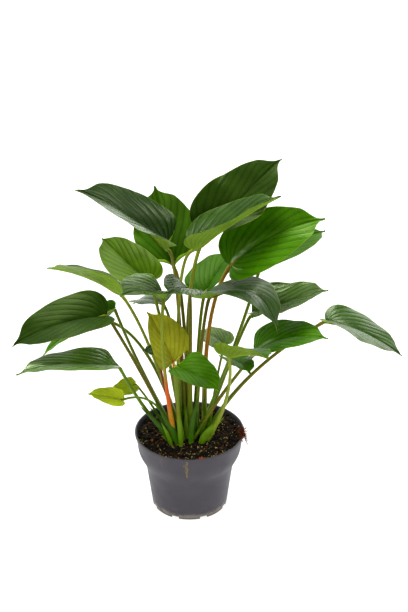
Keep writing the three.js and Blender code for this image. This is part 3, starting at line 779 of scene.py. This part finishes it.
def shoot_skin():
    material, tree, shader = new_material("young_shoot", {
        "Roughness": 0.38, "Subsurface Weight": 0.12, "Subsurface Scale": 0.002})
    _, upward, _ = coordinates(tree, "UV")
    colour = ramp(tree, upward, [
        (0.3, shade(176, 190, 96)), (0.7, shade(168, 186, 78)), (0.95, shade(132, 150, 52))])
    streaks = object_noise(tree, 1000, 3.0, 0.6, stretch=(1, 1, 0.08))
    colour = vary(tree, 0.6, colour, streaks, (0.3, 0.4), (0.7, 0.62))
    tree.links.new(colour, shader.inputs["Base Color"])
    bump(tree, shader, streaks, 0.00012)
    return material


shoot_material = shoot_skin()
for number, shoot in enumerate(SHOOTS, 1):
    foot = Vector((*shoot["root"], STALK_FOOT))
    tip = Vector(shoot["tip"])
    bend = Vector((*shoot["root"], tip.z - 4))
    shares = [i / SHOOT_PATH_STEPS for i in range(SHOOT_PATH_STEPS + 1)]
    path = [foot * (1 - t) ** 2 + bend * 2 * t * (1 - t) + tip * t * t for t in shares]
    at, _ = share_along(path)
    rod = new_rod(SHOOT_STEPS)
    for vert in rod.verts:
        t = vert.co.z + 0.5
        size = shoot["thickness"] / 2 * (0.8 + 0.4 * t if t < 0.5 else 1 - 1.9 * (t - 0.5) ** 1.4)
        ahead = (at(t + 0.02) - at(t - 0.02)).normalized()
        out = Vector((0, -1, 0)).cross(ahead).normalized()
        wrap = 0.12 * math.sin(math.atan2(vert.co.y, vert.co.x) + 3 * t)
        vert.co = at(t) + size * (1 + wrap) * (out * vert.co.x + 0.8 * ahead.cross(out) * vert.co.y)
    finish(f"rolled_shoot_{number}", rod, [shoot_material], "young_shoot", f"shoot_{number}", sharp=60)


# The leaf blades
# Thick glossy heart-shaped blades with sunken side veins that sweep forward from the
# midrib, puffed up between them, and a fine drip tip. Upper and under side are one
# closed sheet, with a material each.
HALF_COLUMNS = 10
BLADE_ROWS = 140
COLUMN_CROWDING = 1.5
LOBE_SHARE = 1 / 3
WIDEST_AT = 0.2
VEIN_FAN = 0.1
FOLD_REACH = 0.5
EDGE_CURL = 0.1
EDGE_WAVE = 1.2
EDGE_RUFFLE = 0.45
TIP_WIDTH = 0.9
DRIP_START = 0.82
DRIP_REACH = 0.14
DRIP_DEPTH = 0.72
VEINS = 10
VEIN_CROWDING = 1.82
VEIN_SWEEP = 1.8
FULL_RELIEF_WIDTH = 68
MIDRIB_CHANNEL = 0.55
MIDRIB_DEPTH = 1.1
# The tint of the gloss on shiny and on duller leaves.
PALE_GLOSS = (0.9, 1.0, 0.7, 1.0)
GREEN_GLOSS = (0.7, 0.9, 0.25, 1.0)
# The painted highlight along a gleaming blade's midrib, and along a side vein on its right:
# the middle and the reach of each streak across the blade, and along it.
GLEAMS = [(0.46, 0.045, 0.34, 0.3), (0.66, 0.13, 0.27, 0.022)]
# Each look has the record's finish, display colours of the veins, of the skin between
# them and of the under side, how rough and how glossy the skin is, how far it puffs
# up between the veins, how strong the pale streaks are at its base, painted sheen on
# the upper side and pale stripes on the under side, and how strong the painted
# highlight of a gleaming blade is, if it has one.
BLADE_LOOKS = {
    "deep": dict(finish="leaf_dark", vein=(20, 42, 8), skin=(46, 76, 14), under=(124, 154, 54),
                 rough=0.28, gloss=0.42, puff=0.55, sheen_and_stripes=0.3),
    "dusky": dict(finish="leaf_dark", vein=(18, 38, 9), skin=(40, 66, 18), under=(132, 162, 58),
                  rough=0.24, gloss=0.52, puff=0.7, sheen_and_stripes=0.3),
    "slate": dict(finish="leaf_dark", vein=(22, 44, 10), skin=(46, 72, 22), under=(132, 162, 58),
                  rough=0.3, gloss=0.42, puff=0.3, sheen_and_stripes=0.3),
    "forest": dict(finish="leaf_dark", vein=(25, 44, 7), skin=(37, 60, 10), under=(120, 154, 44),
                   rough=0.4, gloss=0.14, puff=0.35, sheen_and_stripes=0.2),
    "moss": dict(finish="leaf_dark", vein=(34, 60, 7), skin=(56, 90, 12), under=(120, 154, 44),
                 rough=0.38, gloss=0.15, puff=0.4, sheen_and_stripes=0.25),
    "meadow": dict(finish="leaf_bright", vein=(40, 74, 6), skin=(55, 94, 9), under=(124, 160, 44),
                   rough=0.44, gloss=0.12, puff=0.4, sheen_and_stripes=0.25),
    "ashen": dict(finish="leaf_dark", vein=(40, 66, 18), skin=(72, 100, 38), under=(122, 160, 50),
                  rough=0.24, gloss=0.7, puff=0.75, sheen_and_stripes=0.3),
    # A paler, greyer skin, painted to stand in for sheen and light on a leaf that lies in shade.
    "painted_sheen": dict(finish="leaf_dark", vein=(66, 94, 34), skin=(108, 134, 70), under=(128, 164, 56),
                  rough=0.26, gloss=0.6, puff=0.7, sheen_and_stripes=0.3),
    "bright": dict(finish="leaf_bright", vein=(44, 84, 4), skin=(64, 108, 5), under=(118, 142, 48),
                   rough=0.3, gloss=0.2, puff=0.4, sheen_and_stripes=0.5, gleam=0.85),
    "fresh": dict(finish="leaf_bright", vein=(50, 90, 6), skin=(72, 116, 12), under=(136, 172, 46),
                  rough=0.4, gloss=0.14, puff=0.4, sheen_and_stripes=0.3),
    "olive": dict(finish="leaf_bright", vein=(46, 64, 6), skin=(62, 88, 8), under=(120, 154, 36),
                  rough=0.36, gloss=0.13, puff=0.55, sheen_and_stripes=0.2),
    "yellow": dict(finish="leaf_yellow", vein=(126, 130, 22), skin=(154, 153, 44), under=(166, 172, 50),
                   rough=0.4, gloss=0.18, puff=0.32, sheen_and_stripes=0.3),
    "lemon": dict(finish="leaf_yellow", vein=(138, 152, 26), skin=(168, 180, 46), under=(172, 182, 56),
                  rough=0.38, gloss=0.2, puff=0.35, sheen_and_stripes=0.3),
}


def blade_edge(leaf, length, t):
    """The edge of one half of the flat blade, as across and along, from its lobe to its tip."""
    half, lobe = leaf["width"] / 2, leaf["lobe"]
    widest = (half, WIDEST_AT * length)
    if t < LOBE_SHARE:
        corners = [(0.2 * half, -0.75 * lobe), (0.4 * half, -1.3 * lobe), (0.98 * half, -0.9 * lobe), widest]
        s = t / LOBE_SHARE
    else:
        corners = [widest, (1.02 * half, 0.6 * length), (0.38 * half, 0.92 * length), (TIP_WIDTH / 2, length)]
        s = (t - LOBE_SHARE) / (1 - LOBE_SHARE)
    return bezier([Vector(corner) for corner in corners], s)


def drip(length, along):
    """How far the blade is drawn in at a distance along it, towards its fine tip."""
    share = min(max((along / length - DRIP_START) / DRIP_REACH, 0), 1)
    return 1 - DRIP_DEPTH * share * share * (3 - 2 * share)


def midrib_start(length, t):
    """How far along the midrib the row t starts."""
    fan = VEIN_FAN * length
    if t < LOBE_SHARE:
        return fan * (t / LOBE_SHARE) ** 1.5
    return fan + (length - fan) * (t - LOBE_SHARE) / (1 - LOBE_SHARE)


def row_of_vein(u, w):
    """The row t that the vein numbered w, 0 to 1 from base to tip, has reached at u across."""
    return w ** (VEIN_CROWDING / (1 + VEIN_SWEEP * abs(u) ** 1.1))


def place_on_blade(leaf, axes, rib, u, t):
    """The point at u, -1 to 1 from the left edge to the right, on the row t, and how far across it is."""
    _, _, side, length = axes
    start = midrib_start(length, t)
    edge_across, edge_along = blade_edge(leaf, length, t)
    across = edge_across * drip(length, edge_along) * abs(u)
    along = start + (edge_along - start) * abs(u)
    s = max(along / length, 0)
    ahead = bezier_slope(rib, s).normalized()
    point = bezier(rib, s) + ahead * min(along, 0)
    up = side.cross(ahead).normalized()
    base_fold, tip_fold = leaf["fold"]
    fold = math.radians(base_fold + (tip_fold - base_fold) * min(s / FOLD_REACH, 1))
    half = leaf["width"] / 2
    hand = (u > 0) - (u < 0)
    curl = EDGE_CURL * across ** 2 / half
    wave = EDGE_WAVE * (across / half) ** 2 * math.sin(9 * t + leaf["width"] + 2 * hand)
    ruffle = EDGE_RUFFLE * abs(u) ** 3 * math.sin(31 * t + 2 * leaf["width"] + hand)
    point += side * hand * across * math.cos(fold)
    return point + up * (across * math.sin(fold) - curl + wave + ruffle), across


def relief(leaf, u, w, across, phase):
    """The skin's height between sunken veins, and the channel over the midrib.

    It is low where the veins crowd together at the base, and on small blades.
    """
    puff = abs(math.sin(math.pi * VEINS * w)) ** 0.6 * (1 - 0.5 * w)
    puff *= 1 + 0.3 * math.sin(13 * w + phase) * math.cos(3 * u + 2 * phase)
    puff += 0.07 * math.sin(2 * math.pi * VEINS * 3 * w)
    puff *= BLADE_LOOKS[leaf["blade"]]["puff"] * min(1, leaf["width"] / FULL_RELIEF_WIDTH)
    puff *= min(1, 0.25 + 2.6 * w) * min(1, 5 * abs(u)) * (1 - abs(u) ** 8)
    return puff - MIDRIB_CHANNEL * math.exp(-(across / 1.1) ** 2)


def blade_skin(look, upper):
    """The blade's waxy skin: dark veins, paler and greyer between them, finely striate, with pale streaks
    near the joint that are painted sheen on the upper side, and a painted highlight on gleaming blades.
    """
    choice = BLADE_LOOKS[look]
    vein, skin, under = (shade(*choice[part]) for part in ("vein", "skin", "under"))
    rough = choice["rough"]
    if not upper:
        vein, skin = tuple(0.75 * channel for channel in under), under
        rough += 0.15
    side = "upper" if upper else "under"
    material, tree, shader = new_material(f"blade_{look}_{side}", {
        "Specular IOR Level": choice["gloss"] if upper else 0.3,
        "Specular Tint": PALE_GLOSS if choice["gloss"] > 0.3 else GREEN_GLOSS})
    sideways, along, _ = coordinates(tree, "UV")
    across = math_node(tree, "ABSOLUTE", math_node(tree, "MULTIPLY_ADD", sideways, 2.0, -1.0))
    soft = object_noise(tree, 45, 4.0, 0.55)
    wander = multiply(tree, subtract(tree, object_noise(tree, 70, 2.0), 0.5), 0.02)
    place = math_node(tree, "ADD", along, wander)
    wave = math_node(tree, "SINE", multiply(tree, place, math.pi * VEINS))
    between = math_node(tree, "POWER", math_node(tree, "ABSOLUTE", wave), 0.4)
    fine = math_node(tree, "SINE", multiply(tree, place, 2 * math.pi * VEINS * 5))
    colour = blend_colour(tree, between, vein, skin)
    colour = vary(tree, 0.75, colour, soft, (0.3, 0.36), (0.7, 0.66))
    colour = vary(tree, 0.6, colour, object_noise(tree, 520, 4.0, 0.65), (0.3, 0.42), (0.72, 0.6))
    striate = math_node(tree, "MULTIPLY_ADD", fine, 0.045, 0.5)
    colour = vary(tree, 0.7, colour, striate, (0.0, 0.0), (1.0, 1.0))
    # Pale streaks between the veins near the joint: a painted sheen on the upper side, and the pale stripes
    # of the leaf's base on the under side.
    near = multiply(tree, fall_off(tree, along, 0.6), between)
    tint = tuple(1.9 * channel for channel in skin)
    paler = (tint[0], tint[1], 0.9 * tint[2])
    colour = blend_colour(tree, multiply(tree, near, choice["sheen_and_stripes"]), colour, paler)
    # A painted highlight: pale streaks along the midrib and a side vein, broken up by noise.
    if upper and "gleam" in choice:
        lit = 0.0
        for side_at, side_reach, row_at, row_reach in GLEAMS:
            beside = math_node(tree, "ABSOLUTE", subtract(tree, sideways, side_at))
            ahead = math_node(tree, "ABSOLUTE", subtract(tree, along, row_at))
            spot = multiply(tree, fall_off(tree, beside, side_reach), fall_off(tree, ahead, row_reach))
            lit = math_node(tree, "MAXIMUM", lit, math_node(tree, "POWER", spot, 0.6))
        broken = ramp(tree, object_noise(tree, 160, 3.0), [(0.35, 0.3), (0.6, 1.0)])
        lit = multiply(tree, multiply(tree, lit, broken), choice["gleam"])
        colour = blend_colour(tree, lit, colour, shade(196, 210, 170))
    # The midrib's line and the thin yellowish margin.
    core = multiply(tree, fall_off(tree, across, 0.035), 0.6)
    colour = blend_colour(tree, core, colour, vein if upper else tint)
    rim = math_node(tree, "DIVIDE", subtract(tree, across, 0.965), 0.03, clamp=True)
    colour = blend_colour(tree, multiply(tree, rim, 0.3), colour, shade(130, 146, 50))
    tree.links.new(colour, shader.inputs["Base Color"])
    dull = math_node(tree, "MULTIPLY_ADD", soft, 0.24, rough - 0.12)
    tree.links.new(dull, shader.inputs["Roughness"])
    height = math_node(tree, "MULTIPLY_ADD", fine, 0.35, object_noise(tree, 900, 3.0, 0.6))
    bump(tree, shader, height, 0.00007)
    return material


def make_blade(number, leaf):
    """One closed sheet: the shaped upper side, and the under side a leaf's thickness below it."""
    axes = blade_axes(leaf)
    rib = midrib(leaf)
    sheet = bmesh.new()
    bmesh.ops.create_grid(sheet, x_segments=2 * HALF_COLUMNS, y_segments=BLADE_ROWS, size=1)
    layer = sheet.loops.layers.uv.new("UVMap")
    spots = {}
    for vert in sheet.verts:
        u = math.copysign(abs(vert.co.x) ** COLUMN_CROWDING, vert.co.x)
        spots[vert] = u, vert.co.y / 2 + 0.5
    for face in sheet.faces:
        for loop in face.loops:
            u, w = spots[loop.vert]
            loop[layer].uv = (0.5 + 0.5 * u, w)
    widths = {}
    for vert, (u, w) in spots.items():
        vert.co, widths[vert] = place_on_blade(leaf, axes, rib, u, row_of_vein(u, w))
    sheet.normal_update()
    normals = {vert: vert.normal.copy() for vert in sheet.verts}
    under = {}
    for vert, (u, w) in spots.items():
        across = widths[vert]
        vert.co += normals[vert] * relief(leaf, u, w, across, number)
        spine = MIDRIB_DEPTH * math.exp(-(across / 1.8) ** 2) * (1 - w) ** 0.5
        thickness = BLADE_THICKNESS * (1 - 0.5 * abs(u) ** 4) + spine
        under[vert.co.copy().freeze()] = vert.co - normals[vert] * thickness
    made = bmesh.ops.extrude_face_region(sheet, geom=sheet.faces[:], use_keep_orig=True)
    for item in made["geom"]:
        if isinstance(item, bmesh.types.BMVert):
            item.co = under[item.co.copy().freeze()]
        elif isinstance(item, bmesh.types.BMFace):
            item.material_index = 1
    look = leaf["blade"]
    finish(f"blade_{number:02d}", sheet, blade_materials[look], BLADE_LOOKS[look]["finish"],
           f"leaf_{number:02d}_blade", sharp=50)


blade_materials = {look: [blade_skin(look, True), blade_skin(look, False)] for look in BLADE_LOOKS}
for number, leaf in enumerate(LEAVES, 1):
    make_blade(number, leaf)


# The floor, the lights and the camera
# A plain pale floor under four large soft lights, the strongest of them overhead, a
# pale backdrop, and the camera at the height and distance of the photograph's.
FLOOR_HALF = 6
floor = bmesh.new()
bmesh.ops.create_grid(floor, x_segments=1, y_segments=1, size=FLOOR_HALF)
floor_material, _, _ = new_material("floor", {
    "Roughness": 0.9, "Base Color": (0.4, 0.4, 0.4, 1), "Specular IOR Level": 0.1,
    "Emission Color": (1, 1, 1, 1), "Emission Strength": 0.64})
floor_object = add_object("floor", to_mesh("floor", floor))
floor_object.data.materials.append(floor_material)
floor_object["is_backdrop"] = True

# The backdrop lights the plant softly, more from behind than from the front, and is
# white where the camera sees it.
world = bpy.data.worlds.new("studio")
world.use_nodes = True
sky = world.node_tree
_, backward, _ = coordinates(sky, "Generated")
backdrop = math_node(sky, "MULTIPLY_ADD", backward, 0.9, 0.42)
backdrop = math_node(sky, "MINIMUM", math_node(sky, "MAXIMUM", backdrop, 0.34), 0.66)
seen = add_node(sky, "ShaderNodeLightPath").outputs["Is Camera Ray"]
background = sky.nodes["Background"]
sky.links.new(math_node(sky, "MAXIMUM", backdrop, seen), background.inputs["Strength"])
background.inputs["Color"].default_value = (1, 1, 1, 1)
bpy.context.scene.world = world
bpy.context.scene.view_settings.view_transform = "Standard"
bpy.context.scene.view_settings.look = "Medium High Contrast"

# Each light: place and aim in metres, size, and power in watts.
LIGHTS = {
    "overhead": ((-0.25, 0.75, 2.0), (0.0, 0.0, 0.25), 1.0, 44),
    "front": ((-1.2, -1.5, 1.9), (0.0, 0.0, 0.2), 1.1, 26),
    "back": ((0.9, 2.0, 0.95), (0.0, 0.0, 0.25), 1.3, 13),
    "right": ((2.0, -1.1, 1.4), (0.0, 0.0, 0.2), 0.9, 14),
}
for name, (place, aim, size, power) in LIGHTS.items():
    lamp = bpy.data.lights.new(name, "AREA")
    lamp.shape = "SQUARE"
    lamp.size = size
    lamp.energy = power
    light = add_object(name, lamp)
    light.location = place
    light.rotation_euler = (Vector(aim) - Vector(place)).to_track_quat("-Z", "Y").to_euler()

CAMERA_PITCH = 28
CAMERA_DISTANCE = 1.7
CAMERA_TARGET = Vector((0.016, 0, 0.245))
FOCAL_PIXELS = 1612
IMAGE_HEIGHT = 612
view = bpy.data.cameras.new("camera")
view.sensor_fit = "VERTICAL"
view.sensor_height = 36
view.lens = FOCAL_PIXELS / IMAGE_HEIGHT * view.sensor_height
view.clip_end = 50
camera = add_object("camera", view)
pitch = math.radians(CAMERA_PITCH)
camera.location = CAMERA_TARGET + CAMERA_DISTANCE * Vector((0, -math.cos(pitch), math.sin(pitch)))
camera.rotation_euler = (math.pi / 2 - pitch, 0, 0)
bpy.context.scene.camera = camera

low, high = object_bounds()
